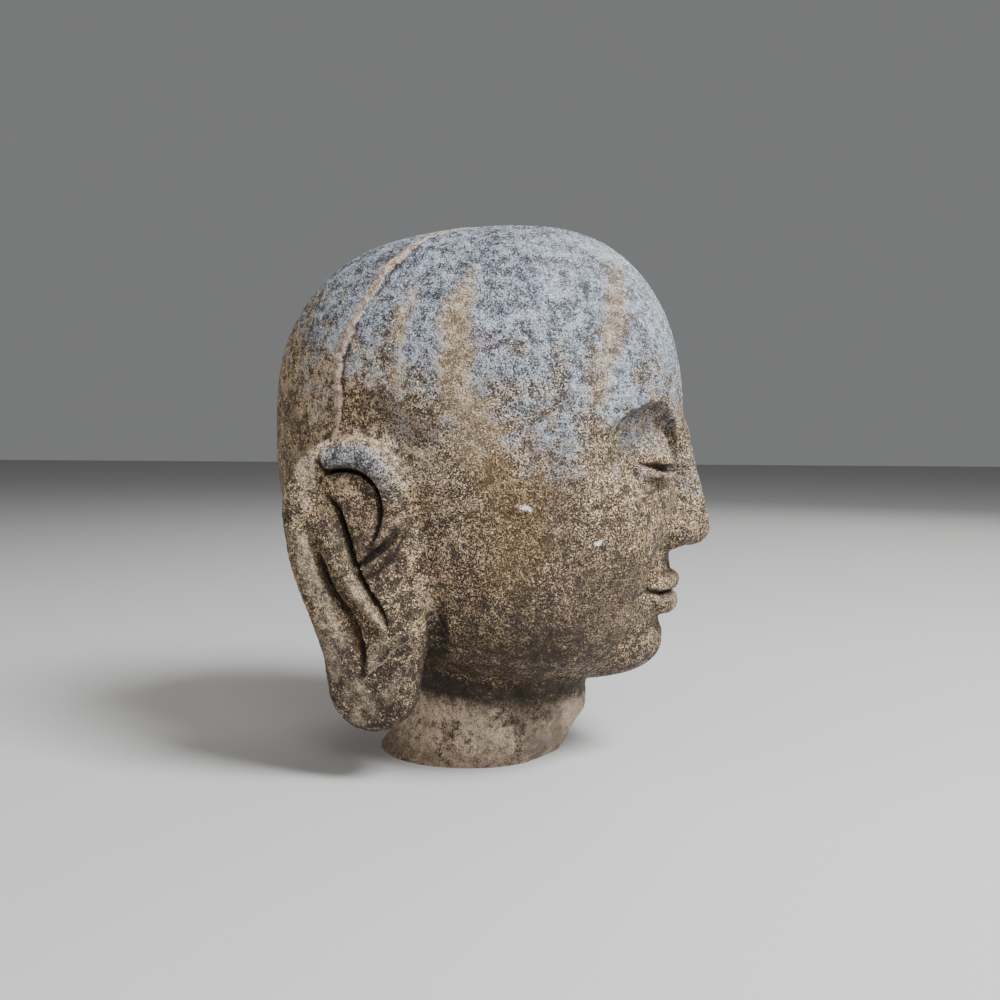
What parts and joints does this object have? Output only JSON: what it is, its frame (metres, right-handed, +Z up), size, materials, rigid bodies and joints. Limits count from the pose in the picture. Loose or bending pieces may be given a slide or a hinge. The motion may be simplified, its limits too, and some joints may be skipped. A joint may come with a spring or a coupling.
{
  "type": "stone buddha head",
  "caption": "Carved dark stone Buddha head with a smooth crown and long ears, standing on its own short neck.",
  "frame": {"origin": "centre of the round flat underside of the neck", "axes": "+Z up through the crown, -Y the way the face looks, +X the head's own left"},
  "size_m": [0.1536, 0.1798, 0.2148],
  "materials": {
    "stone": "dark weathered stone, finely pitted, with a soft low sheen"
  },
  "bodies": {
    "root": {"stone_head": "stone"}
  },
  "joints": []
}
